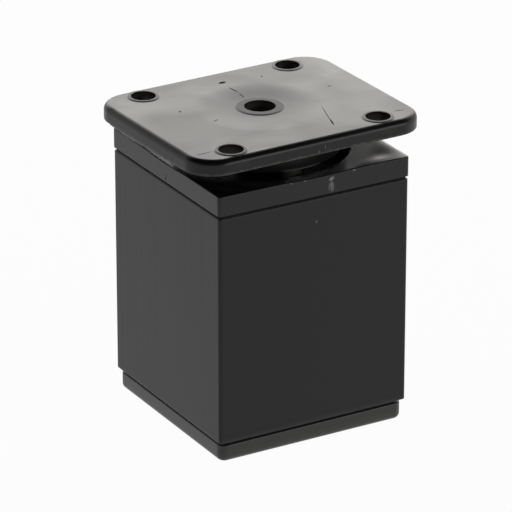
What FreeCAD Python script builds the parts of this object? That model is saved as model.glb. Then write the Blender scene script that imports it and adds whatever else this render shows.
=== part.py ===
import FreeCAD, Part
import math
import os

# Square furniture leg, 60 mm tall: an aluminium tube closed by a moulded foot cap and a moulded collar,
# with a mounting plate that stands off the collar on an adjusting screw.
# Millimetres, +Z up. The origin is the middle of the foot's underside, on the leg's axis.

# Tube
tube_side = 40.0
tube_wall = 1.2
tube_length = 45.15
tube_corner_radius = 0.65

# Plugs that hold the cap and the collar in the tube's ends
plug_clearance = 0.15
plug_wall = 1.8
plug_corner_radius = 1.0
plug_lead_in = 0.6
crush_rib_width = 1.2
crush_rib_spacing = 18.0

# Foot cap
foot_height = 3.9
foot_inset = 0.4
foot_corner_radius = 1.6
foot_edge_radius = 1.1
foot_floor = 2.5
foot_plug_depth = 10.0
foot_joint_chamfer = 0.2

# Collar
collar_height = 4.0
collar_overhang = 0.1
collar_corner_radius = 0.7
collar_rebate_height = 0.45
collar_rebate_depth = 0.35
collar_plug_depth = 13.0
collar_floor = 2.5
collar_roof = 2.2
dish_rim_diameter = 42.6
dish_radius = 130.0

# Mounting plate
plate_length = 48.7
plate_width = 39.5
plate_thickness = 2.9
plate_corner_radius = 6.0
plate_top_edge_radius = 1.2
plate_low_edge_chamfer = 0.3
plate_gap = 4.05
plate_turn = 1.4
boss_diameter = 30.8
boss_height = 4.25
boss_chamfer = 0.4
boss_side_clearance = 1.3
screw_hole_spacing = 31.4
screw_hole_diameter = 4.6
screw_hole_rim_diameter = 6.0
key_hole_diameter = 5.8
key_hole_rim_diameter = 9.0
rim_height = 0.15

# Adjusting screw, its nut and its retaining ring
thread_diameter = 10.0
thread_clearance = 0.05
thread_reserve = 1.7
screw_end_chamfer = 1.0
screw_bore_clearance = 0.4
lift = 11.0
closing_clearance = 0.3
head_diameter = 14.0
head_height = 2.6
head_edge_chamfer = 0.3
head_side_clearance = 0.2
head_bearing_clearance = 0.05
key_width = 5.0
key_depth = 4.0
nut_width = 16.0
nut_height = 8.0
nut_clearance = 0.05
nut_recess = 0.2
nut_chamfer_angle = 30.0
hub_wall = 2.0
hub_floor = 3.0
hub_web = 1.5
ring_depth = 1.0
ring_thickness = 1.2
ring_bore_clearance = 0.5
ring_clearance = 0.1
ring_gap = 3.0

# Levels above the floor
foot_top = foot_height
tube_top = foot_top + tube_length
collar_top = tube_top + collar_height
plate_low = collar_top + plate_gap
plate_top = plate_low + plate_thickness
rim_top = plate_top + rim_height
boss_low = plate_low - boss_height
pocket_floor = collar_top - boss_height - closing_clearance
nut_top = pocket_floor - nut_recess
nut_low = nut_top - nut_height
hub_low = nut_low - hub_floor
head_top = plate_low - head_bearing_clearance
head_low = head_top - head_height
ring_top = head_low - ring_clearance
ring_low = ring_top - ring_thickness
screw_low = nut_low - lift - thread_reserve

# Fits shared by two pieces
tube_bore = tube_side - 2 * tube_wall
plug_side = tube_bore - 2 * plug_clearance
pocket_diameter = boss_diameter + 2 * boss_side_clearance
head_bore = head_diameter + 2 * head_side_clearance
groove_diameter = head_bore + 2 * ring_depth
nut_pocket_width = nut_width + 2 * nut_clearance

AXIS = FreeCAD.Vector(0, 0, 1)
ORIGIN = FreeCAD.Vector(0, 0, 0)


def box(length, width, low, high, centre=(0, 0)):
    corner = FreeCAD.Vector(centre[0] - length / 2, centre[1] - width / 2, low)
    return Part.makeBox(length, width, high - low, corner)


def cylinder(diameter, low, high, centre=(0, 0)):
    return Part.makeCylinder(diameter / 2, high - low, FreeCAD.Vector(centre[0], centre[1], low))


def rounded_prism(length, width, corner_radius, low, high):
    """Upright prism on the leg's axis with rounded vertical edges."""
    prism = box(length, width, low, high)
    upright = [edge for edge in prism.Edges if edge.BoundBox.ZLength > (high - low) / 2]
    return prism.makeFillet(corner_radius, upright)


def edges_at(shape, height):
    """Edges that lie in the level plane at this height."""
    return [
        edge
        for edge in shape.Edges
        if abs(edge.BoundBox.ZMin - height) < 1e-4 and abs(edge.BoundBox.ZMax - height) < 1e-4
    ]


def hex_prism(across_flats, low, high):
    across_corners = across_flats / math.cos(math.pi / 6)
    corners = [
        FreeCAD.Vector(
            across_corners / 2 * math.cos(math.radians(60 * side)),
            across_corners / 2 * math.sin(math.radians(60 * side)),
            low,
        )
        for side in range(7)
    ]
    return Part.Face(Part.makePolygon(corners)).extrude(AXIS * (high - low))


def turned(profile):
    """Solid of revolution about the leg's axis from (radius, height) points."""
    points = [FreeCAD.Vector(radius, 0, height) for radius, height in profile]
    return Part.Face(Part.makePolygon(points + points[:1])).revolve(ORIGIN, AXIS, 360)


def around(shape):
    """The shape at each of the four sides of the leg."""
    copies = []
    for side in range(4):
        copy = shape.copy()
        copy.rotate(ORIGIN, AXIS, 90 * side)
        copies.append(copy)
    return copies


def plug(free_end, tube_end):
    """Square plug with a lead-in at its free end and crush ribs that bear on the tube's inside."""
    low, high = sorted((free_end, tube_end))
    body = rounded_prism(plug_side, plug_side, plug_corner_radius, low, high)
    body = body.makeChamfer(plug_lead_in, edges_at(body, free_end))
    rib_low, rib_high = sorted((free_end + math.copysign(plug_lead_in, tube_end - free_end), tube_end))
    rib_reach = tube_bore / 2
    ribs = []
    for offset in (-crush_rib_spacing / 2, crush_rib_spacing / 2):
        rib = box(rib_reach, crush_rib_width, rib_low, rib_high, (rib_reach / 2, offset))
        ribs += around(rib)
    return body.multiFuse(ribs)


def square_tube():
    outside = rounded_prism(tube_side, tube_side, tube_corner_radius, foot_top, tube_top)
    return outside.cut(box(tube_bore, tube_bore, foot_top, tube_top))


def foot_cap():
    side = tube_side - 2 * foot_inset
    base = rounded_prism(side, side, foot_corner_radius, 0, foot_top)
    base = base.makeFillet(foot_edge_radius, edges_at(base, 0))
    base = base.makeChamfer(foot_joint_chamfer, edges_at(base, foot_top))
    plug_top = foot_top + foot_plug_depth
    inside = plug_side - 2 * plug_wall
    hollow = box(inside, inside, foot_floor, plug_top)
    return base.fuse(plug(plug_top, foot_top)).cut(hollow).removeSplitter()


def top_collar():
    side = tube_side + 2 * collar_overhang
    flange = rounded_prism(side, side, collar_corner_radius, tube_top + collar_rebate_height, collar_top)
    neck = rounded_prism(
        side - 2 * collar_rebate_depth,
        side - 2 * collar_rebate_depth,
        collar_corner_radius,
        tube_top,
        tube_top + collar_rebate_height,
    )
    plug_low = tube_top - collar_plug_depth
    body = flange.multiFuse([neck, plug(plug_low, tube_top)])

    # The plug is a skirt below the pocket's floor, and the corners beside the pocket are cored from below.
    inside = plug_side - 2 * plug_wall
    pocket_wall = cylinder(pocket_diameter + 2 * plug_wall, pocket_floor - collar_floor, collar_top)
    core = box(inside, inside, plug_low, collar_top - collar_roof).cut(pocket_wall)
    body = body.cut(core)

    # A hub on four webs carries the nut, which drops in from the pocket and bears on the hub's floor.
    hub_diameter = nut_pocket_width / math.cos(math.pi / 6) + 2 * hub_wall
    hub = cylinder(hub_diameter, hub_low, pocket_floor)
    web = box(plug_side / 2, hub_web, hub_low, pocket_floor, (plug_side / 4, 0))
    body = body.multiFuse([hub] + around(web))

    # The dished top falls to the round pocket that takes the plate's boss.
    dish_centre = collar_top + math.sqrt(dish_radius**2 - (dish_rim_diameter / 2) ** 2)
    dish = Part.makeSphere(dish_radius, FreeCAD.Vector(0, 0, dish_centre))
    pocket = cylinder(pocket_diameter, pocket_floor, collar_top)
    nut_pocket = hex_prism(nut_pocket_width, nut_low, pocket_floor)
    screw_bore = cylinder(thread_diameter + 2 * screw_bore_clearance, hub_low, nut_low)
    return body.cut(dish).cut(pocket).cut(nut_pocket).cut(screw_bore).removeSplitter()


def hex_nut():
    corner_radius = nut_width / 2 / math.cos(math.pi / 6)
    face_radius = nut_width / 2
    fall = (corner_radius - face_radius) * math.tan(math.radians(nut_chamfer_angle))
    blank = turned(
        [
            (0, nut_low),
            (face_radius, nut_low),
            (corner_radius, nut_low + fall),
            (corner_radius, nut_top - fall),
            (face_radius, nut_top),
            (0, nut_top),
        ]
    )
    bore = cylinder(thread_diameter + 2 * thread_clearance, nut_low, nut_top)
    return blank.common(hex_prism(nut_width, nut_low, nut_top)).cut(bore)


def adjusting_screw():
    shank_radius = thread_diameter / 2
    head_radius = head_diameter / 2
    blank = turned(
        [
            (0, screw_low),
            (shank_radius - screw_end_chamfer, screw_low),
            (shank_radius, screw_low + screw_end_chamfer),
            (shank_radius, head_low),
            (head_radius, head_low),
            (head_radius, head_top - head_edge_chamfer),
            (head_radius - head_edge_chamfer, head_top),
            (0, head_top),
        ]
    )
    return blank.cut(hex_prism(key_width, head_top - key_depth, head_top))


def retaining_ring():
    outside = groove_diameter - 2 * ring_clearance
    ring = cylinder(outside, ring_low, ring_top)
    bore = cylinder(thread_diameter + 2 * ring_bore_clearance, ring_low, ring_top)
    gap = box(outside / 2, ring_gap, ring_low, ring_top, (outside / 4, 0))
    return ring.cut(bore).cut(gap)


def mounting_plate():
    plate = rounded_prism(plate_length, plate_width, plate_corner_radius, plate_low, plate_top)
    plate = plate.makeFillet(plate_top_edge_radius, edges_at(plate, plate_top))
    plate = plate.makeChamfer(plate_low_edge_chamfer, edges_at(plate, plate_low))
    boss = cylinder(boss_diameter, boss_low, plate_low + plate_thickness / 2)
    boss = boss.makeChamfer(boss_chamfer, edges_at(boss, boss_low))

    reach = screw_hole_spacing / 2
    centres = [(x, y) for x in (-reach, reach) for y in (-reach, reach)]
    rims = [cylinder(screw_hole_rim_diameter, plate_low, rim_top, centre) for centre in centres]
    rims.append(cylinder(key_hole_rim_diameter, plate_low, rim_top))
    holes = [cylinder(screw_hole_diameter, plate_low, rim_top, centre) for centre in centres]
    holes.append(cylinder(key_hole_diameter, plate_low, rim_top))

    # The screw's head turns in a bore in the boss, above a groove for its retaining ring.
    seat = cylinder(head_bore, boss_low, plate_low)
    groove = cylinder(groove_diameter, ring_low - ring_clearance, ring_top + ring_clearance)
    plate = plate.multiFuse([boss] + rims).cut(holes + [seat, groove]).removeSplitter()
    plate.rotate(ORIGIN, AXIS, plate_turn)
    return plate


os.makedirs("parts", exist_ok=True)
for make in (
    square_tube,
    foot_cap,
    top_collar,
    hex_nut,
    adjusting_screw,
    retaining_ring,
    mounting_plate,
):
    make().exportStep(f"parts/{make.__name__}.step")
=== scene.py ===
import bmesh
import bpy
import math
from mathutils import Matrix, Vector


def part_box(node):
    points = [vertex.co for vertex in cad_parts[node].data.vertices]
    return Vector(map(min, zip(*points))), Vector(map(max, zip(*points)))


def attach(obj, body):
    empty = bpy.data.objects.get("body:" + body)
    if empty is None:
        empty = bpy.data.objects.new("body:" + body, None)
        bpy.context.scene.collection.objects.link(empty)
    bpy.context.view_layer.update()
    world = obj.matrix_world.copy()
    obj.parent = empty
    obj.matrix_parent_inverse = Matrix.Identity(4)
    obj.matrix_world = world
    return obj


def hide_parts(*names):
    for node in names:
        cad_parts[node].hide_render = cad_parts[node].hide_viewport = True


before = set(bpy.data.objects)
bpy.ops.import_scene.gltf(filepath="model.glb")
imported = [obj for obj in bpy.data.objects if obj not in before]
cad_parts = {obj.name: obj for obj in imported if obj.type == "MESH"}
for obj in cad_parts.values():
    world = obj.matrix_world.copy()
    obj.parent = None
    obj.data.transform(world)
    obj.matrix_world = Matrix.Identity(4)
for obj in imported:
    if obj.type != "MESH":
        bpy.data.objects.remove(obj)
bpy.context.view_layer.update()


# Square tube: extruded aluminium, 40 mm across with a thin wall, coated satin black and sawn to length.
# It is the body of the leg, and the collar and the foot cap are pressed into its ends.
MM = 0.001
tube_low, tube_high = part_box("square_tube")
# The joints with the collar and the foot lie a little inside the ends of the CAD tube.
top_joint_drop = 0.3 * MM
low_joint_rise = 0.2 * MM
tube_high.z -= top_joint_drop
tube_low.z += low_joint_rise
tube_wall = 1.2 * MM
tube_corner_radius = 0.65 * MM
top_edge_round = 0.36 * MM
low_edge_round = 0.15 * MM
# How near two heights count as one, and how much of an upright direction lies along the leg's axis.
same_height = 0.01 * MM
straight_up = 0.99
crease_angle = math.radians(35)


def add_block(name, low, high):
    """A new box between two corners, alone in the selection and open in edit mode."""
    bpy.ops.object.select_all(action="DESELECT")
    bpy.ops.mesh.primitive_cube_add(size=1, location=(low + high) / 2, scale=high - low)
    block = bpy.context.object
    block.name = name
    bpy.ops.object.transform_apply(location=True, rotation=True, scale=True)
    bpy.ops.object.mode_set(mode="EDIT")
    return block


def pick(piece, kind, test):
    """Selects the faces or edges of a piece in edit mode that pass a test of their place or direction."""
    bpy.ops.mesh.select_mode(type=kind)
    bpy.ops.mesh.select_all(action="DESELECT")
    mesh = bmesh.from_edit_mesh(piece.data)
    for item in mesh.faces if kind == "FACE" else mesh.edges:
        item.select_set(test(item))
    bmesh.update_edit_mesh(piece.data)


def round_edges(piece, test, radius, segments):
    """Rounds the edges of a piece in edit mode that pass a test."""
    pick(piece, "EDGE", test)
    bpy.ops.mesh.bevel(offset=radius, segments=segments, affect="EDGES")


def is_upright(edge):
    along = edge.verts[1].co - edge.verts[0].co
    return abs(along.normalized().z) > straight_up


def is_level_at(height):
    """A test for edges that lie in the level plane at this height."""
    return lambda edge: all(abs(vert.co.z - height) < same_height for vert in edge.verts)


def apply_modifier(piece, kind, **settings):
    bpy.context.view_layer.objects.active = piece
    modifier = piece.modifiers.new(kind.lower(), kind)
    for name, value in settings.items():
        setattr(modifier, name, value)
    bpy.ops.object.modifier_apply(modifier=modifier.name)


def select_only(piece):
    """Makes a piece active and alone in the selection."""
    bpy.ops.object.select_all(action="DESELECT")
    piece.select_set(True)
    bpy.context.view_layer.objects.active = piece


def smooth(piece):
    """Smooth shading that keeps flat faces flat and stops at sharp edges."""
    select_only(piece)
    bpy.ops.object.shade_smooth_by_angle(angle=crease_angle)
    apply_modifier(piece, "WEIGHTED_NORMAL", keep_sharp=True)


tube = add_block("tube_shell", tube_low, tube_high)
round_edges(tube, is_upright, tube_corner_radius, segments=8)
pick(tube, "FACE", lambda face: abs(face.normal.z) > straight_up)
bpy.ops.mesh.delete(type="FACE")
bpy.ops.object.mode_set(mode="OBJECT")
apply_modifier(tube, "SOLIDIFY", thickness=tube_wall, offset=-1, use_even_offset=True)
select_only(tube)
bpy.ops.object.mode_set(mode="EDIT")


def is_outer_end(height):
    """A test for the tube's outside edges at one of its ends."""
    reach = tube_high.x - tube_wall / 2
    return lambda edge: is_level_at(height)(edge) and all(
        max(abs(vert.co.x), abs(vert.co.y)) > reach for vert in edge.verts
    )


round_edges(tube, is_outer_end(tube_high.z), top_edge_round, segments=5)
round_edges(tube, is_outer_end(tube_low.z), low_edge_round, segments=2)
bpy.ops.object.mode_set(mode="OBJECT")
smooth(tube)
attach(tube, "leg")
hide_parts("square_tube")


def linear(colour):
    """Linear colour from an sRGB hex value such as #1c1c1d."""
    channels = [int(colour[i : i + 2], 16) / 255 for i in (1, 3, 5)]
    return [c / 12.92 if c <= 0.04045 else ((c + 0.055) / 1.055) ** 2.4 for c in channels] + [1.0]


def new_material(name, piece):
    """An empty node material, put on a piece in place of what it had."""
    material = bpy.data.materials.new(name)
    material.use_nodes = True
    material.node_tree.nodes.clear()
    piece.data.materials.clear()
    piece.data.materials.append(material)
    return material


def add_node(material, kind, inputs=None, **settings):
    """Adds a node with its settings; each input is a value, another node's output, or a node, which gives
    the first output that it has in use."""
    node = material.node_tree.nodes.new(kind)
    for name, value in settings.items():
        setattr(node, name, value)
    for name, value in (inputs or {}).items():
        if isinstance(value, bpy.types.Node):
            value = next(output for output in value.outputs if output.enabled)
        if isinstance(value, bpy.types.NodeSocket):
            material.node_tree.links.new(value, node.inputs[name])
        else:
            node.inputs[name].default_value = value
    return node


# The share of a mark's half size that shows in full; outside it the mark fades.
mark_core = 0.55


def add_marks(material, place, marks):
    """Where small marks lie: 1 in the middle of a mark and 0 outside it.
    Each mark is an ellipsoid, given by its centre and half sizes in mm and its turn in degrees."""
    shown = None
    for centre, half_sizes, turn in marks:
        local = add_node(
            material,
            "ShaderNodeMapping",
            {
                "Vector": place,
                "Location": [value * MM for value in centre],
                "Rotation": [math.radians(value) for value in turn],
                "Scale": [value * MM for value in half_sizes],
            },
            vector_type="TEXTURE",
        )
        reach = add_node(material, "ShaderNodeVectorMath", {0: local}, operation="LENGTH")
        mark = add_node(
            material,
            "ShaderNodeMapRange",
            {"Value": reach, "From Min": mark_core, "To Min": 1.0, "To Max": 0.0},
        )
        if shown:
            mark = add_node(material, "ShaderNodeMath", {0: mark, 1: shown}, operation="MAXIMUM")
        shown = mark
    return shown


# Black coating on extruded aluminium: even and satin, with faint die lines along the tube and a fine peel.
# The coating is broken at the sawn ends, where bare metal shows through, and at a pinhole in front.
coating = new_material("coated_aluminium", tube)
place = add_node(coating, "ShaderNodeTexCoord").outputs["Object"]
# Real die lines lie closer together; these are as coarse as they need to be to show.
die_line_spacing = 1.0 * MM
die_line_length = 150 * MM
stretched = add_node(
    coating, "ShaderNodeMapping", {"Vector": place, "Scale": (1, 1, die_line_spacing / die_line_length)}
)
die_lines = add_node(
    coating, "ShaderNodeTexNoise", {"Vector": stretched, "Scale": 1 / die_line_spacing, "Detail": 3.0}
)
lines_bump = add_node(
    coating, "ShaderNodeBump", {"Height": die_lines, "Strength": 0.06, "Distance": 0.02 * MM}
)
peel_size = 0.35 * MM
peel = add_node(coating, "ShaderNodeTexNoise", {"Vector": place, "Scale": 1 / peel_size, "Detail": 2.0})
peel_bump = add_node(
    coating, "ShaderNodeBump", {"Height": peel, "Strength": 0.1, "Distance": 0.02 * MM, "Normal": lines_bump}
)
coating_roughness = add_node(
    coating,
    "ShaderNodeMapRange",
    {"Value": die_lines, "From Min": 0.3, "From Max": 0.7, "To Min": 0.34, "To Max": 0.39},
)
tube_middle = (tube_low.z + tube_high.z) / 2
tube_half = (tube_high.z - tube_low.z) / 2
tube_place = add_node(coating, "ShaderNodeSeparateXYZ", {"Vector": place})
from_middle = add_node(
    coating, "ShaderNodeMath", {0: tube_place.outputs["Z"], 1: tube_middle}, operation="SUBTRACT"
)
end_reach = add_node(coating, "ShaderNodeMath", {0: from_middle}, operation="ABSOLUTE")
ragged_edge = 0.12 * MM
ragged_reach = add_node(
    coating, "ShaderNodeMath", {0: peel, 1: ragged_edge, 2: end_reach}, operation="MULTIPLY_ADD"
)
bare_start = tube_half - 0.03 * MM
bare_full = tube_half + 0.02 * MM
bare_share = 0.7
bare = add_node(
    coating,
    "ShaderNodeMapRange",
    {"Value": ragged_reach, "From Min": bare_start, "From Max": bare_full, "To Max": bare_share},
)
pinhole = add_marks(coating, place, [((0.32, -20, 44.2), (0.3, 0.3, 0.3), (0, 0, 0))])
tube_colour = add_node(
    coating,
    "ShaderNodeMix",
    {"Factor": bare, "A": linear("#1f1f20"), "B": linear("#8d8e90")},
    data_type="RGBA",
)
rubbed_length = 0.9 * MM
rubbed_share = 0.3
rubbed_end = add_node(
    coating,
    "ShaderNodeMapRange",
    {
        "Value": tube_place.outputs["Z"],
        "From Min": tube_low.z,
        "From Max": tube_low.z + rubbed_length,
        "To Min": rubbed_share,
        "To Max": 0.0,
    },
)
pale_spots = add_node(coating, "ShaderNodeMath", {0: pinhole, 1: rubbed_end}, operation="MAXIMUM")
marked_colour = add_node(
    coating,
    "ShaderNodeMix",
    {"Factor": pale_spots, "A": tube_colour, "B": linear("#6a6a6a")},
    data_type="RGBA",
)
coating_shader = add_node(
    coating,
    "ShaderNodeBsdfPrincipled",
    {
        "Base Color": marked_colour,
        "Metallic": bare,
        "Roughness": coating_roughness,
        "IOR": 1.34,
        "Normal": peel_bump,
    },
)
add_node(coating, "ShaderNodeOutputMaterial", {"Surface": coating_shader})


# Foot cap: one black polyethylene moulding, a base with rounded edges set in a little from the tube,
# and a hollow plug that is pressed into the tube's lower end.
foot_low, foot_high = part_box("foot_cap")
foot_top = tube_low.z
foot_inset = 0.4 * MM
foot_half = tube_high.x - foot_inset
foot_corner_radius = 1.6 * MM
foot_edge_radius = 1.1 * MM
foot_joint_round = 0.3 * MM
foot_groove_height = 0.65 * MM
foot_groove_depth = 0.75 * MM
foot_floor = 2.5 * MM
plug_wall = 1.8 * MM
plug_corner_radius = 1.0 * MM
hollow_corner_radius = 0.3 * MM
plug_gap = 0.15 * MM
plug_half = tube_high.x - tube_wall - plug_gap
hollow_half = plug_half - plug_wall
# How far a cutter, or a block that is joined on, goes past the face that it meets.
overlap = 1 * MM


def combine(piece, tool, operation):
    """Joins a tool to a piece or cuts the piece with it, and removes the tool."""
    bpy.ops.object.select_all(action="DESELECT")
    apply_modifier(piece, "BOOLEAN", object=tool, operation=operation, solver="EXACT")
    bpy.data.objects.remove(tool)


def square_block(name, half, low, high, corner_radius):
    """A square block on the leg's axis with rounded upright edges."""
    block = add_block(name, Vector((-half, -half, low)), Vector((half, half, high)))
    round_edges(block, is_upright, corner_radius, segments=10)
    bpy.ops.object.mode_set(mode="OBJECT")
    return block


base_top = foot_top - foot_groove_height
foot = square_block("foot_moulding", foot_half, foot_low.z, base_top, foot_corner_radius)
bpy.ops.object.mode_set(mode="EDIT")
round_edges(foot, is_level_at(foot_low.z), foot_edge_radius, segments=8)
round_edges(foot, is_level_at(base_top), foot_joint_round, segments=5)
bpy.ops.object.mode_set(mode="OBJECT")
foot_neck = square_block("foot_neck", foot_half - foot_groove_depth, foot_floor, foot_top, foot_corner_radius)
combine(foot, foot_neck, "UNION")
combine(foot, square_block("foot_plug", plug_half, foot_floor, foot_high.z, plug_corner_radius), "UNION")
foot_open = foot_high.z + overlap
foot_hollow = square_block("foot_hollow", hollow_half, foot_floor, foot_open, hollow_corner_radius)
combine(foot, foot_hollow, "DIFFERENCE")
smooth(foot)
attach(foot, "leg")
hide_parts("foot_cap")

# Black polyethylene: a fine matt moulded grain, a little greyer than the tube, and pale towards the floor, as
# scuffs and as a painted reflection of the white floor.
polyethylene = new_material("moulded_polyethylene", foot)
place = add_node(polyethylene, "ShaderNodeTexCoord").outputs["Object"]
# The real grain is finer; it is as coarse as it needs to be to show.
grain_size = 0.3 * MM
grain = add_node(
    polyethylene, "ShaderNodeTexNoise", {"Vector": place, "Scale": 1 / grain_size, "Detail": 3.0}
)
grain_bump = add_node(
    polyethylene, "ShaderNodeBump", {"Height": grain, "Strength": 0.25, "Distance": 0.05 * MM}
)
foot_place = add_node(polyethylene, "ShaderNodeSeparateXYZ", {"Vector": place})
# Pale towards the floor: partly scuffs, and partly a painted reflection of the white floor along the lower
# edge.
floor_mark_patch = 3.0 * MM
floor_mark_climb = 0.9 * MM
floor_mark_full = -0.4 * MM
floor_mark_end = 1.6 * MM
floor_mark_share = 0.6
floor_mark_noise = add_node(
    polyethylene,
    "ShaderNodeTexNoise",
    {"Vector": place, "Scale": 1 / floor_mark_patch, "Detail": 5.0, "Roughness": 0.6},
)
floor_mark_height = add_node(
    polyethylene,
    "ShaderNodeMath",
    {0: floor_mark_noise, 1: -floor_mark_climb, 2: foot_place.outputs["Z"]},
    operation="MULTIPLY_ADD",
)
scuffs_and_floor_reflection = add_node(
    polyethylene,
    "ShaderNodeMapRange",
    {
        "Value": floor_mark_height,
        "From Min": floor_mark_full,
        "From Max": floor_mark_end,
        "To Min": floor_mark_share,
        "To Max": 0.0,
    },
)
foot_nicks = add_marks(
    polyethylene,
    place,
    [
        ((-12.6, -19.6, 3.45), (0.35, 0.4, 0.14), (0, 30, 0)),
        ((12.8, -19.6, 3.5), (0.3, 0.4, 0.12), (0, -20, 0)),
    ],
)
wear_and_floor_reflection = add_node(polyethylene, "ShaderNodeMath", {0: scuffs_and_floor_reflection, 1: foot_nicks}, operation="MAXIMUM")
foot_colour = add_node(
    polyethylene,
    "ShaderNodeMix",
    {"Factor": wear_and_floor_reflection, "A": linear("#272725"), "B": linear("#5c5a56")},
    data_type="RGBA",
)
# A hair's breadth, by which a plane stands clear of another.
hair = 0.02 * MM
# Painted shade: the neck in the groove under the tube is coloured near black, as the shade in the groove.
groove_painted_shade = add_node(
    polyethylene, "ShaderNodeMath", {0: foot_place.outputs["Z"], 1: base_top + hair}, operation="GREATER_THAN"
)
groove_shaded_colour = add_node(
    polyethylene,
    "ShaderNodeMix",
    {"Factor": groove_painted_shade, "A": foot_colour, "B": linear("#0c0c0c")},
    data_type="RGBA",
)
foot_shader = add_node(
    polyethylene,
    "ShaderNodeBsdfPrincipled",
    {"Base Color": groove_shaded_colour, "Roughness": 0.36, "IOR": 1.48, "Normal": grain_bump},
)
add_node(polyethylene, "ShaderNodeOutputMaterial", {"Surface": foot_shader})


# Collar: one black moulding in the tube's upper end, with a flange a little wider than the tube, a dished
# top, a round pocket for the plate's boss, and a hub on four webs that holds the nut.
collar_low, collar_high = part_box("top_collar")
collar_corner_radius = 0.7 * MM
collar_rebate_height = 0.45 * MM
collar_rebate_depth = 0.35 * MM
collar_top_round = 0.2 * MM
collar_low_round = 0.1 * MM
flange_low = tube_high.z + collar_rebate_height
dish_radius = 130 * MM
dish_rim_radius = 21.3 * MM
dish_grid = 0.8 * MM
dish_lines = 25
border_fall = 0.3 * MM
border_start = 0.4 * MM
border_width = 4.6 * MM
corner_start = 19.3 * MM
corner_width = 3.5 * MM
pocket_radius = 16.7 * MM
pocket_depth = 4.55 * MM
pocket_edge_round = 0.2 * MM
pocket_floor = collar_high.z - pocket_depth
pocket_floor_thickness = 2.5 * MM
nut_low, nut_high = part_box("hex_nut")
nut_gap = 0.06 * MM
hub_floor = 3 * MM
hub_low = nut_low.z - hub_floor
hub_step = 0.5 * MM
hub_wall = 2.0 * MM
hub_web = 1.5 * MM
screw_bore_radius = 5.4 * MM
same_place = 0.001 * MM
full_turn = 2 * math.pi


def draw_line(name, points):
    """A new open line of edges from one point to the next, in edit mode."""
    bpy.ops.object.select_all(action="DESELECT")
    bpy.ops.mesh.primitive_plane_add(size=1 * MM, location=(0, 0, 0))
    line = bpy.context.object
    line.name = name
    bpy.ops.object.mode_set(mode="EDIT")
    bpy.ops.mesh.select_mode(type="VERT")
    bpy.ops.mesh.select_all(action="SELECT")
    bpy.ops.mesh.merge(type="CENTER")
    bpy.ops.transform.translate(value=points[0])
    for start, end in zip(points, points[1:]):
        step = [b - a for a, b in zip(start, end)]
        bpy.ops.mesh.extrude_vertices_move(TRANSFORM_OT_translate={"value": step})
    return line


def add_turned(name, profile, steps, x=0, y=0):
    """A new solid turned about the leg's axis, from (radius, height) points that start and end on it,
    and moved to x, y. Each of its two flat ends is made one face, so that cuts through it stay clean."""
    piece = draw_line(name, [(radius, 0, height) for radius, height in profile])
    bpy.ops.mesh.select_all(action="SELECT")
    bpy.ops.mesh.spin(steps=steps, angle=full_turn, center=(0, 0, 0), axis=(0, 0, 1))
    bpy.ops.mesh.select_all(action="SELECT")
    bpy.ops.mesh.remove_doubles(threshold=same_place)
    bpy.ops.mesh.normals_make_consistent(inside=False)
    pick(piece, "FACE", lambda face: any(vert.co.xy.length < same_place for vert in face.verts))
    bpy.ops.mesh.dissolve_faces()
    bpy.ops.object.mode_set(mode="OBJECT")
    for vert in piece.data.vertices:
        vert.co.x += x
        vert.co.y += y
    return piece


def add_hex(name, across_corners, low, high):
    """A six-sided bar on the leg's axis with two corners on the X axis."""
    bpy.ops.object.select_all(action="DESELECT")
    bpy.ops.mesh.primitive_cylinder_add(
        vertices=6,
        radius=across_corners / 2,
        depth=high - low,
        location=(0, 0, (low + high) / 2),
        rotation=(0, 0, math.radians(30)),
    )
    bar = bpy.context.object
    bar.name = name
    bpy.ops.object.transform_apply(location=True, rotation=True, scale=True)
    return bar


def dish_height(x, y):
    """Height of the top, which is dished in the middle and falls in softly from the sides at each corner."""
    radius = math.hypot(x, y)
    dish = math.sqrt(dish_radius**2 - radius**2) - math.sqrt(dish_radius**2 - dish_rim_radius**2)
    border = border_fall
    side_gaps = [(collar_high.x - reach - border_start) / border_width for reach in (abs(x), abs(y))]
    for share in side_gaps + [(radius - corner_start) / corner_width]:
        share = min(max(share, 0), 1)
        border *= share * share * (3 - 2 * share)
    return collar_high.z - max(dish, 0) - border


collar = square_block("collar_moulding", collar_high.x, flange_low, collar_high.z, collar_corner_radius)
bpy.ops.object.mode_set(mode="EDIT")
round_edges(collar, is_level_at(collar_high.z), collar_top_round, segments=3)
round_edges(collar, is_level_at(flange_low), collar_low_round, segments=2)
for step in range(-dish_lines, dish_lines):
    for across in (Vector((1, 0, 0)), Vector((0, 1, 0))):
        bpy.ops.mesh.select_all(action="SELECT")
        bpy.ops.mesh.bisect(plane_co=across * (step + 0.5) * dish_grid, plane_no=across)
bpy.ops.object.mode_set(mode="OBJECT")
for vert in collar.data.vertices:
    if vert.co.z > collar_high.z - collar_top_round - same_height:
        vert.co.z += dish_height(vert.co.x, vert.co.y) - collar_high.z

neck_half = collar_high.x - collar_rebate_depth
neck = square_block("collar_neck", neck_half, tube_high.z, flange_low + overlap, collar_corner_radius)
combine(collar, neck, "UNION")
collar_plug = square_block("collar_plug", plug_half, collar_low.z, flange_low, plug_corner_radius)
combine(collar, collar_plug, "UNION")
hollow_top = pocket_floor - pocket_floor_thickness
hollow_low = collar_low.z - overlap
collar_hollow = square_block("collar_hollow", hollow_half, hollow_low, hollow_top, hollow_corner_radius)
combine(collar, collar_hollow, "DIFFERENCE")

nut_corner_reach = nut_high.x + nut_gap
hub_radius = nut_corner_reach + hub_wall
hub_top = pocket_floor - hub_step
hub_profile = [(0, hub_low), (hub_radius, hub_low), (hub_radius, hub_top), (0, hub_top)]
combine(collar, add_turned("hub", hub_profile, steps=48), "UNION")
web_reach = plug_half - overlap
web_low = hub_low + hub_step
for reach_x, reach_y in ((web_reach, hub_web / 2), (hub_web / 2, web_reach)):
    web_end = Vector((reach_x, reach_y, hollow_top + overlap))
    web = add_block("web", Vector((-reach_x, -reach_y, web_low)), web_end)
    bpy.ops.object.mode_set(mode="OBJECT")
    combine(collar, web, "UNION")

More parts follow.
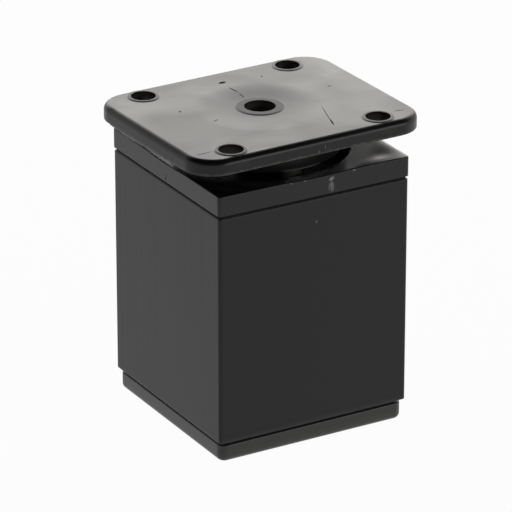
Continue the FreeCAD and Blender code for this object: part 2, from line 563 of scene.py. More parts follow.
pocket_lip = dish_height(pocket_radius + pocket_edge_round, 0)
lip_points = [
    (
        pocket_radius + pocket_edge_round * (1 - math.sin(math.radians(angle))),
        pocket_lip - pocket_edge_round * (1 - math.cos(math.radians(angle))),
    )
    for angle in (15, 30, 50, 70, 90)
]
lip_points.insert(0, (pocket_radius + 2 * pocket_edge_round, pocket_lip + 0.5 * pocket_edge_round))
sky = collar_high.z + 10 * MM
pocket_profile = [(0, sky), (lip_points[0][0], sky)] + lip_points
pocket_profile += [(pocket_radius, pocket_floor), (0, pocket_floor)]
combine(collar, add_turned("pocket_cutter", pocket_profile, steps=192), "DIFFERENCE")
combine(collar, add_hex("nut_cutter", 2 * nut_corner_reach, nut_low.z, sky), "DIFFERENCE")
bore_low = hub_low - overlap
bore_profile = [(0, bore_low), (screw_bore_radius, bore_low), (screw_bore_radius, sky), (0, sky)]
combine(collar, add_turned("bore_cutter", bore_profile, steps=48), "DIFFERENCE")
smooth(collar)
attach(collar, "leg")
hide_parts("top_collar")

# Black moulded nylon: satin, with a faint uneven skin. Everything but the outer skin of the sides, the top
# included, is darker as painted shade from the plate above, and the pocket and the neck under the flange are
# matt and near black as painted shade. Its front has been knocked and shows a pale scuff with a run below
# it, and the top edge has small pale nicks.
collar_plastic = new_material("moulded_nylon", collar)
place = add_node(collar_plastic, "ShaderNodeTexCoord").outputs["Object"]
skin_size = 0.5 * MM
collar_skin = add_node(
    collar_plastic, "ShaderNodeTexNoise", {"Vector": place, "Scale": 1 / skin_size, "Detail": 3.0}
)
collar_bump = add_node(
    collar_plastic, "ShaderNodeBump", {"Height": collar_skin, "Strength": 0.2, "Distance": 0.03 * MM}
)
collar_scuffs = add_marks(
    collar_plastic,
    place,
    [
        ((3.4, -20.0, 52.05), (0.75, 0.4, 0.45), (0, -25, 0)),
        ((3.35, -20.1, 50.9), (0.22, 0.3, 0.7), (0, 4, 0)),
        ((8.2, -19.9, 52.75), (0.5, 0.4, 0.14), (0, 0, 0)),
        ((-2.2, -19.9, 52.7), (0.5, 0.4, 0.12), (0, 0, 0)),
        ((-5.05, -19.9, 52.78), (0.35, 0.4, 0.12), (0, 0, 0)),
    ],
)
collar_streaks = add_marks(
    collar_plastic,
    place,
    [
        ((3.5, -20.1, 50.5), (0.5, 0.3, 1.3), (0, 0, 0)),
        ((2.9, -20.1, 50.6), (0.15, 0.3, 1.0), (0, 3, 0)),
    ],
)
streak_share = 0.3
faint_streaks = add_node(
    collar_plastic, "ShaderNodeMath", {0: collar_streaks, 1: streak_share}, operation="MULTIPLY"
)
rubbed = add_node(collar_plastic, "ShaderNodeMath", {0: collar_scuffs, 1: collar_skin}, operation="MULTIPLY")
collar_wear = add_node(collar_plastic, "ShaderNodeMath", {0: rubbed, 1: faint_streaks}, operation="MAXIMUM")
collar_colour = add_node(
    collar_plastic,
    "ShaderNodeMix",
    {"Factor": collar_wear, "A": linear("#282828"), "B": linear("#c8c8c6")},
    data_type="RGBA",
)
collar_cut = add_marks(collar_plastic, place, [((-20.1, -0.45, 50.2), (0.4, 0.14, 0.85), (18, 0, 0))])
collar_place = add_node(collar_plastic, "ShaderNodeSeparateXYZ", {"Vector": place})
level_place = add_node(collar_plastic, "ShaderNodeVectorMath", {0: place, 1: (1, 1, 0)}, operation="MULTIPLY")
from_axis = add_node(collar_plastic, "ShaderNodeVectorMath", {0: level_place}, operation="LENGTH")
# Painted shade: the pocket below its lip and the neck under the flange are coloured near black, as the shade
# in them, and made matt; the cut on the left side is dull and near black too.
lip_matt = pocket_lip - 0.05 * MM
lip_satin = pocket_lip + 0.1 * MM
below_lip = add_node(
    collar_plastic,
    "ShaderNodeMapRange",
    {
        "Value": collar_place.outputs["Z"],
        "From Min": lip_matt,
        "From Max": lip_satin,
        "To Min": 1.0,
        "To Max": 0.0,
    },
)
in_pocket = add_node(
    collar_plastic,
    "ShaderNodeMapRange",
    {
        "Value": from_axis,
        "From Min": pocket_radius,
        "From Max": pocket_radius + 3 * pocket_edge_round,
        "To Min": below_lip,
        "To Max": 0.0,
    },
)
below_flange = add_node(
    collar_plastic,
    "ShaderNodeMath",
    {0: collar_place.outputs["Z"], 1: flange_low - hair},
    operation="LESS_THAN",
)
shaded_hollows = add_node(collar_plastic, "ShaderNodeMath", {0: in_pocket, 1: below_flange}, operation="MAXIMUM")
dull_cut_and_painted_shade = add_node(collar_plastic, "ShaderNodeMath", {0: shaded_hollows, 1: collar_cut}, operation="MAXIMUM")
level_reach = add_node(collar_plastic, "ShaderNodeVectorMath", {0: level_place}, operation="ABSOLUTE")
side_places = add_node(collar_plastic, "ShaderNodeSeparateXYZ", {"Vector": level_reach})
side_reach = add_node(
    collar_plastic,
    "ShaderNodeMath",
    {0: side_places.outputs["X"], 1: side_places.outputs["Y"]},
    operation="MAXIMUM",
)
top_inner = collar_high.x - 0.4 * MM
top_outer = collar_high.x - 0.15 * MM
on_top = add_node(
    collar_plastic,
    "ShaderNodeMapRange",
    {"Value": side_reach, "From Min": top_inner, "From Max": top_outer, "To Min": 1.0, "To Max": 0.0},
)
top_roughness = add_node(
    collar_plastic, "ShaderNodeMapRange", {"Value": on_top, "To Min": 0.27, "To Max": 0.23}
)
collar_roughness = add_node(
    collar_plastic, "ShaderNodeMapRange", {"Value": dull_cut_and_painted_shade, "To Min": top_roughness, "To Max": 0.95}
)
# Painted shade: all but the outer skin of the sides, the top included, is coloured near black, as the shade
# of the plate over the top.
top_painted_shade_colour = add_node(
    collar_plastic,
    "ShaderNodeMix",
    {"Factor": on_top, "A": collar_colour, "B": linear("#0c0c0c")},
    data_type="RGBA",
)
shaded_colour = add_node(
    collar_plastic,
    "ShaderNodeMix",
    {"Factor": dull_cut_and_painted_shade, "A": top_painted_shade_colour, "B": linear("#0e0e0e")},
    data_type="RGBA",
)
collar_shader = add_node(
    collar_plastic,
    "ShaderNodeBsdfPrincipled",
    {"Base Color": shaded_colour, "Roughness": collar_roughness, "IOR": 1.35, "Normal": collar_bump},
)
add_node(collar_plastic, "ShaderNodeOutputMaterial", {"Surface": collar_shader})


# Nut: a common M10 steel nut with a black oxide finish. It is dropped into the hex pocket of the collar's
# hub before the screw goes in, and the hub keeps it from turning.
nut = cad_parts["hex_nut"]

# Black oxide on steel: a dull black with brown tints where the oil has dried on it.
blackened_steel = new_material("black_oxide_steel", nut)
place = add_node(blackened_steel, "ShaderNodeTexCoord").outputs["Object"]
oil_patch = 2.0 * MM
oil_film = add_node(
    blackened_steel, "ShaderNodeTexNoise", {"Vector": place, "Scale": 1 / oil_patch, "Detail": 4.0}
)
oxide_colour = add_node(blackened_steel, "ShaderNodeValToRGB", {"Fac": oil_film})
oxide_colour.color_ramp.elements[0].position = 0.3
oxide_colour.color_ramp.elements[0].color = linear("#141312")
oxide_colour.color_ramp.elements[1].position = 0.7
oxide_colour.color_ramp.elements[1].color = linear("#262322")
oxide_roughness = add_node(
    blackened_steel, "ShaderNodeMapRange", {"Value": oil_film, "To Min": 0.5, "To Max": 0.75}
)
oxide_shader = add_node(
    blackened_steel,
    "ShaderNodeBsdfPrincipled",
    {"Base Color": oxide_colour, "Metallic": 1.0, "Roughness": oxide_roughness},
)
add_node(blackened_steel, "ShaderNodeOutputMaterial", {"Surface": oxide_shader})


# Adjusting screw: an M10 steel screw in black oxide, with a low round head and a hex socket for a 5 mm key.
# Its head turns in the plate's boss and its thread works in the nut.
screw_low, screw_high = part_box("adjusting_screw")
thread_radius = 5.0 * MM
thread_pitch = 1.5 * MM
thread_depth = 0.9 * MM
crest_width = 0.19 * MM
head_radius = screw_high.x
head_height = 2.6 * MM
head_low = screw_high.z - head_height
head_edge = 0.3 * MM
head_low_edge = 0.1 * MM
key_size = 5.0 * MM
key_corners = key_size / math.cos(math.radians(30))
key_depth = 4.0 * MM
thread_steps = 40
thread_merge = 0.002 * MM
thread_in_head = 0.3 * MM
edge_share = 0.3
thread_turns = math.ceil((head_low - screw_low.z) / thread_pitch) + 2
thread_start = screw_low.z - thread_pitch
flank = (thread_pitch - 2 * crest_width) / 2
root_radius = thread_radius - thread_depth
thread_profile = [
    (root_radius, 0, thread_start),
    (root_radius, 0, thread_start + crest_width),
    (thread_radius, 0, thread_start + crest_width + flank),
    (thread_radius, 0, thread_start + 2 * crest_width + flank),
    (root_radius, 0, thread_start + thread_pitch),
]
screw = draw_line("screw_thread", thread_profile)
bpy.ops.object.mode_set(mode="OBJECT")
apply_modifier(
    screw,
    "SCREW",
    axis="Z",
    angle=full_turn,
    screw_offset=thread_pitch,
    iterations=thread_turns,
    steps=thread_steps,
    render_steps=thread_steps,
    use_merge_vertices=True,
    merge_threshold=thread_merge,
)
bpy.ops.object.mode_set(mode="EDIT")
for height, below in ((screw_low.z, True), (head_low + thread_in_head, False)):
    bpy.ops.mesh.select_all(action="SELECT")
    bpy.ops.mesh.bisect(
        plane_co=(0, 0, height),
        plane_no=(0, 0, 1),
        use_fill=True,
        clear_inner=below,
        clear_outer=not below,
    )
bpy.ops.mesh.select_all(action="SELECT")
bpy.ops.mesh.remove_doubles(threshold=same_place)
bpy.ops.mesh.normals_make_consistent(inside=False)
bpy.ops.object.mode_set(mode="OBJECT")
end_chamfer = 1.0 * MM
for vert in screw.data.vertices:
    reach = math.hypot(vert.co.x, vert.co.y)
    limit = thread_radius - end_chamfer + (vert.co.z - screw_low.z)
    if reach > limit:
        vert.co.x *= limit / reach
        vert.co.y *= limit / reach
head_profile = [
    (0, head_low),
    (head_radius - head_low_edge, head_low),
    (head_radius, head_low + head_low_edge),
    (head_radius, screw_high.z - head_edge),
    (head_radius - edge_share * head_edge, screw_high.z - edge_share * head_edge),
    (head_radius - head_edge, screw_high.z),
    (0, screw_high.z),
]
head = add_turned("screw_head", head_profile, steps=72)
key_top = screw_high.z + overlap
combine(head, add_hex("key_cutter", key_corners, head_low - overlap, key_top), "DIFFERENCE")
combine(screw, add_hex("key_cutter", key_corners, screw_high.z - key_depth, key_top), "DIFFERENCE")
select_only(screw)
head.select_set(True)
bpy.ops.object.join()
screw.name = "adjusting_screw_threaded"
smooth(screw)
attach(screw, "screw")
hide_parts("adjusting_screw")
screw.data.materials.clear()
screw.data.materials.append(blackened_steel)


# Retaining ring: a split ring of spring steel in the boss's groove, under the screw's head.
# It keeps the screw in the plate and lets the plate turn.
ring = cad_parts["retaining_ring"]

# Oiled spring steel: dark bluish grey with a low sheen that the oil makes uneven.
spring_steel = new_material("oiled_spring_steel", ring)
place = add_node(spring_steel, "ShaderNodeTexCoord").outputs["Object"]
oil = add_node(spring_steel, "ShaderNodeTexNoise", {"Vector": place, "Scale": 1 / oil_patch, "Detail": 3.0})
oil_roughness = add_node(spring_steel, "ShaderNodeMapRange", {"Value": oil, "To Min": 0.25, "To Max": 0.45})
spring_shader = add_node(
    spring_steel,
    "ShaderNodeBsdfPrincipled",
    {"Base Color": linear("#5c5f66"), "Metallic": 1.0, "Roughness": oil_roughness},
)
add_node(spring_steel, "ShaderNodeOutputMaterial", {"Surface": spring_shader})


# Mounting plate: one black moulding, a plate with rounded corners, rims round its five holes, and a round
# boss below that holds the screw's head. It swivels on the screw and stands a little turned.
plate_low, plate_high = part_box("mounting_plate")
plate_length = 48.7 * MM
plate_width = 39.5 * MM
plate_thickness = 2.9 * MM
plate_corner_radius = 6.0 * MM
plate_top_round = 1.2 * MM
plate_low_chamfer = 0.1 * MM
plate_turn = math.radians(1.4)
rim_height = 0.15 * MM
plate_top = plate_high.z - rim_height
plate_under = plate_top - plate_thickness
boss_radius = 15.4 * MM
boss_chamfer = 0.4 * MM
head_bore_radius = 7.2 * MM
groove_radius = 8.2 * MM
ring_low, ring_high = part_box("retaining_ring")
ring_gap = 0.1 * MM
hole_reach = 15.7 * MM
screw_hole_radius = 2.3 * MM
screw_rim_radius = 3.0 * MM
key_hole_radius = 2.9 * MM
key_rim_radius = 4.5 * MM
rim_slope = 0.3 * MM
hole_round = 0.12 * MM

plate = add_block(
    "plate_moulding",
    Vector((-plate_length / 2, -plate_width / 2, plate_under)),
    Vector((plate_length / 2, plate_width / 2, plate_top)),
)
round_edges(plate, is_upright, plate_corner_radius, segments=24)
round_edges(plate, is_level_at(plate_top), plate_top_round, segments=12)
round_edges(plate, is_level_at(plate_under), plate_low_chamfer, segments=2)
bpy.ops.object.mode_set(mode="OBJECT")

flash_thickness = 0.18 * MM
flash_drop = 0.27 * MM
flash_step = 0.9 * MM
flash_steps = 14
flash_half = 13 * MM
# Shares: how far back the flash is deepest, the least that is left of it, and what is torn off.
flash_middle = 0.2
flash_least = 0.1
flash_torn = 0.4
short_wave = 0.7 * MM
long_wave = 1.9 * MM
flash_low = Vector((-plate_length / 2, -flash_half, plate_under - flash_drop))
flash_high = Vector((-plate_length / 2 + flash_thickness, flash_half, plate_under + flash_drop))
fin = add_block("flash_fin", flash_low, flash_high)
for step in range(-flash_steps, flash_steps + 1):
    bpy.ops.mesh.select_all(action="SELECT")
    bpy.ops.mesh.bisect(plane_co=(0, step * flash_step, 0), plane_no=(0, 1, 0))
bpy.ops.object.mode_set(mode="OBJECT")
for vert in fin.data.vertices:
    if vert.co.z < plate_under:
        place_along = vert.co.y / flash_high.y
        ragged = 0.5 + 0.3 * math.sin(vert.co.y / short_wave) * math.sin(vert.co.y / long_wave)
        kept = (1 - (place_along - flash_middle) ** 2) * (1 - flash_torn * ragged)
        vert.co.z = plate_under - flash_drop * max(kept, flash_least)
combine(plate, fin, "UNION")

boss_low = plate_low.z
boss_profile = [
    (0, boss_low),
    (boss_radius - boss_chamfer, boss_low),
    (boss_radius - edge_share * boss_chamfer, boss_low + edge_share * boss_chamfer),
    (boss_radius, boss_low + boss_chamfer),
    (boss_radius, plate_under + overlap),
    (0, plate_under + overlap),
]
combine(plate, add_turned("boss", boss_profile, steps=128), "UNION")

holes = [
    (x, y, screw_hole_radius, screw_rim_radius)
    for x in (-hole_reach, hole_reach)
    for y in (-hole_reach, hole_reach)
]
holes.append((0, 0, key_hole_radius, key_rim_radius))
rim_ease = 0.15 * rim_height
for x, y, hole_radius, rim_radius in holes:
    rim_profile = [
        (0, plate_under + overlap),
        (rim_radius + rim_slope, plate_under + overlap),
        (rim_radius + rim_slope, plate_top - hair),
        (rim_radius + rim_slope / 2, plate_top + rim_ease),
        (rim_radius - rim_slope / 2, plate_high.z - rim_ease),
        (rim_radius - rim_slope, plate_high.z),
        (0, plate_high.z),
    ]
    combine(plate, add_turned("rim", rim_profile, 64, x, y), "UNION")
for x, y, hole_radius, rim_radius in holes:
    hole_ease = edge_share * hole_round
    mouth_radius = hole_radius + hole_round + hole_ease
    hole_profile = [
        (0, plate_under - overlap),
        (hole_radius, plate_under - overlap),
        (hole_radius, plate_high.z - hole_round),
        (hole_radius + hole_ease, plate_high.z - hole_ease),
        (mouth_radius, plate_high.z + hole_ease),
        (mouth_radius, plate_high.z + overlap),
        (0, plate_high.z + overlap),
    ]
    combine(plate, add_turned("hole_cutter", hole_profile, 64, x, y), "DIFFERENCE")
seat_profile = [
    (0, boss_low - overlap),
    (head_bore_radius, boss_low - overlap),
    (head_bore_radius, ring_low.z - ring_gap),
    (groove_radius, ring_low.z - ring_gap),
    (groove_radius, ring_high.z + ring_gap),
    (head_bore_radius, ring_high.z + ring_gap),
    (head_bore_radius, plate_under),
    (0, plate_under),
]
combine(plate, add_turned("seat_cutter", seat_profile, steps=72), "DIFFERENCE")
select_only(plate)
plate.rotation_euler.z = plate_turn
bpy.ops.object.transform_apply(location=True, rotation=True, scale=True)
smooth(plate)
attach(plate, "plate")
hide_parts("mounting_plate")

# Black moulded nylon with a glossier skin: a slight crown, the sink over the boss and flow marks show in its
# reflections, with scratches and specks on the top, pale trimmed flash along the lower edge that is partly a
# painted highlight, painted highlights on burrs at the front's lower edge and on the front of the boss's
# edge, and painted light on the hole walls.
plate_plastic = new_material("moulded_plate_nylon", plate)
place = add_node(plate_plastic, "ShaderNodeTexCoord").outputs["Object"]
flat_place = add_node(plate_plastic, "ShaderNodeVectorMath", {0: place, 1: (1, 1, 0)}, operation="MULTIPLY")
from_centre = add_node(plate_plastic, "ShaderNodeVectorMath", {0: flat_place}, operation="LENGTH")
crown_radius = 20 * MM
crown_height = 0.18 * MM
crown_reach = add_node(plate_plastic, "ShaderNodeMath", {0: from_centre, 1: crown_radius}, operation="DIVIDE")
crown = add_node(plate_plastic, "ShaderNodeMath", {0: crown_reach, 1: 2.0}, operation="POWER")
crown_bump = add_node(
    plate_plastic, "ShaderNodeBump", {"Height": crown, "Strength": 1.0, "Distance": crown_height}, invert=True
)
wave_size = 13 * MM
wave_height = 0.22 * MM
waves = add_node(
    plate_plastic,
    "ShaderNodeTexNoise",
    {"Vector": place, "Scale": 1 / wave_size, "Detail": 1.5, "Distortion": 0.4},
)
waves_bump = add_node(
    plate_plastic,
    "ShaderNodeBump",
    {"Height": waves, "Strength": 1.0, "Distance": wave_height, "Normal": crown_bump},
)
sink_inner = 3.5 * MM
sink_outer = 12.5 * MM
sink_depth = 0.46 * MM
sink_reach = add_node(
    plate_plastic,
    "ShaderNodeMapRange",
    {"Value": from_centre, "From Min": sink_inner, "From Max": sink_outer},
    interpolation_type="SMOOTHSTEP",
)
sink_bump = add_node(
    plate_plastic,
    "ShaderNodeBump",
    {"Height": sink_reach, "Strength": 1.0, "Distance": sink_depth, "Normal": waves_bump},
)
plate_skin = add_node(
    plate_plastic, "ShaderNodeTexNoise", {"Vector": place, "Scale": 1 / skin_size, "Detail": 3.0}
)
scratches = add_marks(
    plate_plastic,
    place,
    [
        ((0.03, 9.85, 60), (1.6, 0.16, 0.5), (0, 0, -83)),
        ((-0.12, 6.5, 60), (1.2, 0.13, 0.5), (0, 0, -97)),
        ((8.45, -10.0, 60), (5.0, 0.07, 0.5), (0, 0, -108)),
        ((7.4, -13.4, 60), (1.6, 0.17, 0.5), (0, 0, -108)),
        ((0.1, 14.2, 60), (0.85, 0.5, 0.5), (0, 0, 9)),
        ((8.1, 13.4, 60), (0.2, 0.28, 0.5), (0, 0, 0)),
        ((16.5, 2.7, 60), (0.35, 0.2, 0.5), (0, 0, -10)),
        ((-14.0, 5.0, 60), (0.35, 0.2, 0.5), (0, 0, -50)),
        ((-10.5, -2.1, 60), (0.7, 0.12, 0.5), (0, 0, 22)),
        ((-20.3, -15.2, 60), (1.9, 0.12, 0.5), (0, 0, 3)),
        ((21.1, -14.5, 60), (1.1, 0.12, 0.5), (0, 0, -10)),
    ],
)
skin_bump = add_node(
    plate_plastic,
    "ShaderNodeBump",
    {"Height": plate_skin, "Strength": 0.2, "Distance": 0.03 * MM, "Normal": sink_bump},
)
scratch_depth = 0.15 * MM
scratch_bump = add_node(
    plate_plastic,
    "ShaderNodeBump",
    {"Height": scratches, "Strength": 1.0, "Distance": scratch_depth, "Normal": skin_bump},
    invert=True,
)
flow_roughness = add_node(
    plate_plastic,
    "ShaderNodeMapRange",
    {"Value": waves, "From Min": 0.3, "From Max": 0.7, "To Min": 0.3, "To Max": 0.38},
)
plate_place = add_node(plate_plastic, "ShaderNodeSeparateXYZ", {"Vector": place})
dull_inner = 5.5 * MM
dull_outer = 11.5 * MM
sunk_roughness = add_node(
    plate_plastic,
    "ShaderNodeMapRange",
    {
        "Value": from_centre,
        "From Min": dull_inner,
        "From Max": dull_outer,
        "To Min": 0.4,
        "To Max": flow_roughness,
    },
)
rubbed_rim = add_node(
    plate_plastic,
    "ShaderNodeMapRange",
    {
        "Value": from_centre,
        "From Min": key_rim_radius,
        "From Max": 2 * key_rim_radius,
        "To Min": 0.5,
        "To Max": 0.43,
    },
)
rim_roughness = add_node(
    plate_plastic,
    "ShaderNodeMapRange",
    {
        "Value": plate_place.outputs["Z"],
        "From Min": plate_top + 0.4 * rim_height,
        "From Max": plate_top + 0.8 * rim_height,
        "To Min": sunk_roughness,
        "To Max": rubbed_rim,
    },
)
plate_roughness = add_node(
    plate_plastic, "ShaderNodeMix", {"Factor": scratches, "A": rim_roughness, "B": 1.0}
)
flash_length = 1.2 * MM
flash_climb = 1.2 * MM
flash_full = plate_under - 0.5 * MM
flash_end = plate_under - 0.1 * MM
flash_share = 0.6
flash_inner_radius = 17 * MM
# The pale flash along the lower edge is partly trimmed flash and partly a painted highlight on that edge.
flash = add_node(
    plate_plastic,
    "ShaderNodeTexNoise",
    {"Vector": place, "Scale": 1 / flash_length, "Detail": 4.0, "Roughness": 0.7},
)
flash_height = add_node(
    plate_plastic,
    "ShaderNodeMath",
    {0: flash, 1: -flash_climb, 2: plate_place.outputs["Z"]},
    operation="MULTIPLY_ADD",
)
trim_and_edge_highlight = add_node(
    plate_plastic,
    "ShaderNodeMapRange",
    {
        "Value": flash_height,
        "From Min": flash_full,
        "From Max": flash_end,
        "To Min": flash_share,
        "To Max": 0.0,
    },
)
off_boss = add_node(
    plate_plastic, "ShaderNodeMath", {0: from_centre, 1: flash_inner_radius}, operation="GREATER_THAN"
)
flash_pale_and_highlight = add_node(plate_plastic, "ShaderNodeMath", {0: trim_and_edge_highlight, 1: off_boss}, operation="MULTIPLY")
boss_reach = add_node(
    plate_plastic,
    "ShaderNodeVectorMath",
    {0: flat_place, 1: (0.0, -1 / boss_radius, 0.0)},
    operation="DOT_PRODUCT",
)
# Cosines of the angle from the front at which the painted highlight on the boss's edge starts and is full.
boss_arc_start = 0.955
boss_arc_full = 0.985
boss_front_highlight = add_node(
    plate_plastic,
    "ShaderNodeMapRange",
    {"Value": boss_reach, "From Min": boss_arc_start, "From Max": boss_arc_full},
)
# Painted highlight: a pale band at the bottom of the boss's front, as a light line on its lower edge.
highlight_full_height = boss_low + 0.3 * MM
highlight_end_height = boss_low + 0.55 * MM
boss_edge_highlight = add_node(
    plate_plastic,
    "ShaderNodeMapRange",
    {
        "Value": plate_place.outputs["Z"],
        "From Min": highlight_full_height,
        "From Max": highlight_end_height,
        "To Min": boss_front_highlight,
        "To Max": 0.0,
    },
)
flash_and_boss_highlight = add_node(plate_plastic, "ShaderNodeMath", {0: flash_pale_and_highlight, 1: boss_edge_highlight}, operation="MAXIMUM")
# Painted highlights: pale flecks on burrs along the lower edge of the front.
front_burr_highlights = add_marks(
    plate_plastic,
    place,
    [
        ((-4.5, -19.85, 57.25), (0.6, 0.4, 0.18), (0, -8, 0)),
        ((-1.9, -19.8, 57.22), (0.55, 0.4, 0.2), (0, 6, 0)),
        ((-0.6, -19.77, 57.2), (0.45, 0.4, 0.2), (0, 0, 0)),
        ((0.95, -19.73, 57.6), (0.24, 0.4, 0.42), (0, 4, 0)),
        ((2.27, -19.7, 58.3), (0.14, 0.4, 0.55), (0, 0, 0)),
        ((4.9, -19.63, 57.4), (0.25, 0.4, 0.2), (0, 20, 0)),
        ((8.6, -19.55, 57.4), (0.35, 0.4, 0.2), (0, -15, 0)),
    ],
)
fleck_share = 0.8
faint_burr_highlights = add_node(
    plate_plastic, "ShaderNodeMath", {0: front_burr_highlights, 1: fleck_share}, operation="MULTIPLY"
)
flash_and_highlights = add_node(plate_plastic, "ShaderNodeMath", {0: flash_and_boss_highlight, 1: faint_burr_highlights}, operation="MAXIMUM")
plate_colour = add_node(
    plate_plastic,
    "ShaderNodeMix",
    {"Factor": flash_and_highlights, "A": linear("#171716"), "B": linear("#6c6b69")},
    data_type="RGBA",
)
# The walls of the holes show paler than the skin and a little brown: painted light on the walls. Each mark is
# as wide as this many hole radii and this high in mm, so that it takes in the whole wall.
wall_reach = 1.9
wall_half_height = 2.1
hole_walls = add_marks(
    plate_plastic,
    place,
    [
        (
            (
                (x * math.cos(plate_turn) - y * math.sin(plate_turn)) / MM,
                (x * math.sin(plate_turn) + y * math.cos(plate_turn)) / MM,
                (plate_under + plate_top) / 2 / MM,
            ),
            (wall_reach * hole_radius / MM, wall_reach * hole_radius / MM, wall_half_height),
            (0, 0, 0),
        )
        for x, y, hole_radius, rim_radius in holes
    ],
)
wall_pale = plate_top - 0.35 * MM
wall_end = plate_top - 0.1 * MM
hole_wall_painted_light = add_node(
    plate_plastic,
    "ShaderNodeMapRange",
    {
        "Value": plate_place.outputs["Z"],
        "From Min": wall_pale,
        "From Max": wall_end,
        "To Min": hole_walls,
        "To Max": 0.0,
    },
)
hole_lit_colour = add_node(
    plate_plastic,
    "ShaderNodeMix",
    {"Factor": hole_wall_painted_light, "A": plate_colour, "B": linear("#4b4743")},
    data_type="RGBA",
)
plate_shader = add_node(
    plate_plastic,
    "ShaderNodeBsdfPrincipled",
    {"Base Color": hole_lit_colour, "Roughness": plate_roughness, "IOR": 1.35, "Normal": scratch_bump},
)
add_node(plate_plastic, "ShaderNodeOutputMaterial", {"Surface": plate_shader})


# Camera: a long lens at the photograph's viewing angle, which looks down on the leg's front corner from a
# little to the left.
camera_azimuth = math.radians(-30.032)
camera_elevation = math.radians(23.134)
camera_distance = 772.7 * MM
camera_left = 0.72 * MM
camera_lift = 0.55 * MM
aim_height = 29.5 * MM
aim = Vector((0, 0, aim_height))
back = Vector(
    (
        math.sin(camera_azimuth) * math.cos(camera_elevation),
        -math.cos(camera_azimuth) * math.cos(camera_elevation),
        math.sin(camera_elevation),
    )
)
right = Vector((math.cos(camera_azimuth), math.sin(camera_azimuth), 0))
up = back.cross(right)
bpy.ops.object.select_all(action="DESELECT")
bpy.ops.object.camera_add(location=aim - camera_left * right + camera_lift * up + camera_distance * back)
camera = bpy.context.object
camera.rotation_euler = (-back).to_track_quat("-Z", "Y").to_euler()
camera.data.sensor_width = 36
camera.data.lens = 290.76
camera.data.clip_start = 0.01
bpy.context.scene.camera = camera


# Studio: a white floor and backdrop that the camera and the glossy surfaces see, with the leg's shadow on
# the floor, a soft light behind the leg that the plate's top mirrors, a strip light in front, and a dark
# flag overhead that the plate's rounded edge mirrors.
floor_size = 8
floor_drop = 0.05 * MM
bpy.ops.object.select_all(action="DESELECT")
bpy.ops.mesh.primitive_plane_add(size=floor_size, location=(0, 0, -floor_drop))
floor = bpy.context.object
floor.name = "floor"


def add_seen(material):
    """1 for rays from the camera, off glossy surfaces and through clear ones, and 0 for all others."""
    path = add_node(material, "ShaderNodeLightPath")
    seen = path.outputs["Is Camera Ray"]
    for kind in ("Is Glossy Ray", "Is Transmission Ray"):
        seen = add_node(material, "ShaderNodeMath", {0: seen, 1: path.outputs[kind]}, operation="MAXIMUM")
    return seen


# White paper: even white wherever it is seen or mirrored, with a trace of the leg's shadow.
paper = new_material("white_paper", floor)
paper_share = 0.97
white_share = add_node(paper, "ShaderNodeMath", {0: add_seen(paper), 1: paper_share}, operation="MULTIPLY")
paper_diffuse = add_node(paper, "ShaderNodeBsdfDiffuse", {"Color": linear("#f0f0f0")})
paper_white = add_node(paper, "ShaderNodeEmission", {"Color": linear("#ffffff"), "Strength": 1.0})
paper_mix = add_node(paper, "ShaderNodeMixShader", {0: white_share, 1: paper_diffuse, 2: paper_white})
add_node(paper, "ShaderNodeOutputMaterial", {"Surface": paper_mix})

# Each light's place, width and height in metres, its power in watts and its colour.
lit_point = Vector((0, 0, 0.05))
for name, light_place, width, height, power, colour in (
    ("softbox", Vector((0.29, 0.502, 0.272)), 0.6, 0.27, 1.58, "#fffcf7"),
    ("strip_light", Vector((0.58, -1.0, 0.36)), 0.8, 0.36, 3.0, "#ffffff"),
):
    bpy.ops.object.select_all(action="DESELECT")
    bpy.ops.object.light_add(type="AREA", location=light_place)
    light = bpy.context.object
    light.name = name
    light.data.shape = "RECTANGLE"
    light.data.size = width
    light.data.size_y = height
    light.data.energy = power
    light.data.color = linear(colour)[:3]
    light.rotation_euler = (lit_point - light_place).to_track_quat("-Z", "Y").to_euler()

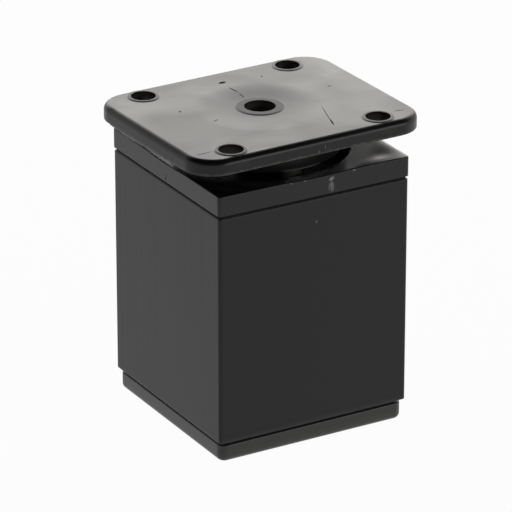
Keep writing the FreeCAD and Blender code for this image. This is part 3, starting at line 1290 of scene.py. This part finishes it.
bpy.ops.object.select_all(action="DESELECT")
flag_size = 1.6
flag_place = Vector((-0.25, -0.43, 0.42))
bpy.ops.mesh.primitive_plane_add(size=flag_size, location=flag_place, rotation=(0, 0, camera_azimuth))
flag = bpy.context.object
flag.name = "dark_flag"
flag.visible_camera = False
flag.visible_diffuse = False
flag.visible_shadow = False

# Black felt: dull and nearly lightless, seen only in reflections.
felt = new_material("black_felt", flag)
felt_shader = add_node(felt, "ShaderNodeBsdfDiffuse", {"Color": linear("#101010")})
add_node(felt, "ShaderNodeOutputMaterial", {"Surface": felt_shader})

# The tent is white wherever it is seen or mirrored. Other rays find bright low walls, dimmer on the left, and
# a dark upper part that is brighter at the back.
tent = bpy.data.worlds.new("light_tent")
bpy.context.scene.world = tent
tent.use_nodes = True
tent.node_tree.nodes.clear()
direction = add_node(tent, "ShaderNodeTexCoord").outputs["Generated"]
climb = add_node(tent, "ShaderNodeSeparateXYZ", {"Vector": direction})
front_right = (0.5, -0.866, 0)
back_right = (0.866, 0.5, 0)
along, side = (
    add_node(tent, "ShaderNodeVectorMath", {0: direction, 1: way}, operation="DOT_PRODUCT")
    for way in (front_right, back_right)
)
bright_wall = add_node(
    tent,
    "ShaderNodeMapRange",
    {"Value": along, "From Min": -0.9, "From Max": 0.9, "To Min": 0.6, "To Max": 0.77},
)
low_wall = add_node(
    tent,
    "ShaderNodeMapRange",
    {"Value": side, "From Min": -0.45, "From Max": -0.1, "To Min": 0.27, "To Max": bright_wall},
    interpolation_type="SMOOTHSTEP",
)
upper_wall = add_node(
    tent,
    "ShaderNodeMapRange",
    {"Value": along, "From Min": -0.65, "From Max": -0.2, "To Min": 0.3, "To Max": 0.07},
    interpolation_type="SMOOTHSTEP",
)
tent_light = add_node(
    tent,
    "ShaderNodeMapRange",
    {
        "Value": climb.outputs["Z"],
        "From Min": -0.02,
        "From Max": 0.1,
        "To Min": low_wall,
        "To Max": upper_wall,
    },
    interpolation_type="SMOOTHSTEP",
)
tent_strength = add_node(tent, "ShaderNodeMath", {0: tent_light, 1: add_seen(tent)}, operation="MAXIMUM")
tent_wall = add_node(tent, "ShaderNodeBackground", {"Color": linear("#ffffff"), "Strength": tent_strength})
add_node(tent, "ShaderNodeOutputWorld", {"Surface": tent_wall})
bpy.context.scene.view_settings.view_transform = "Standard"
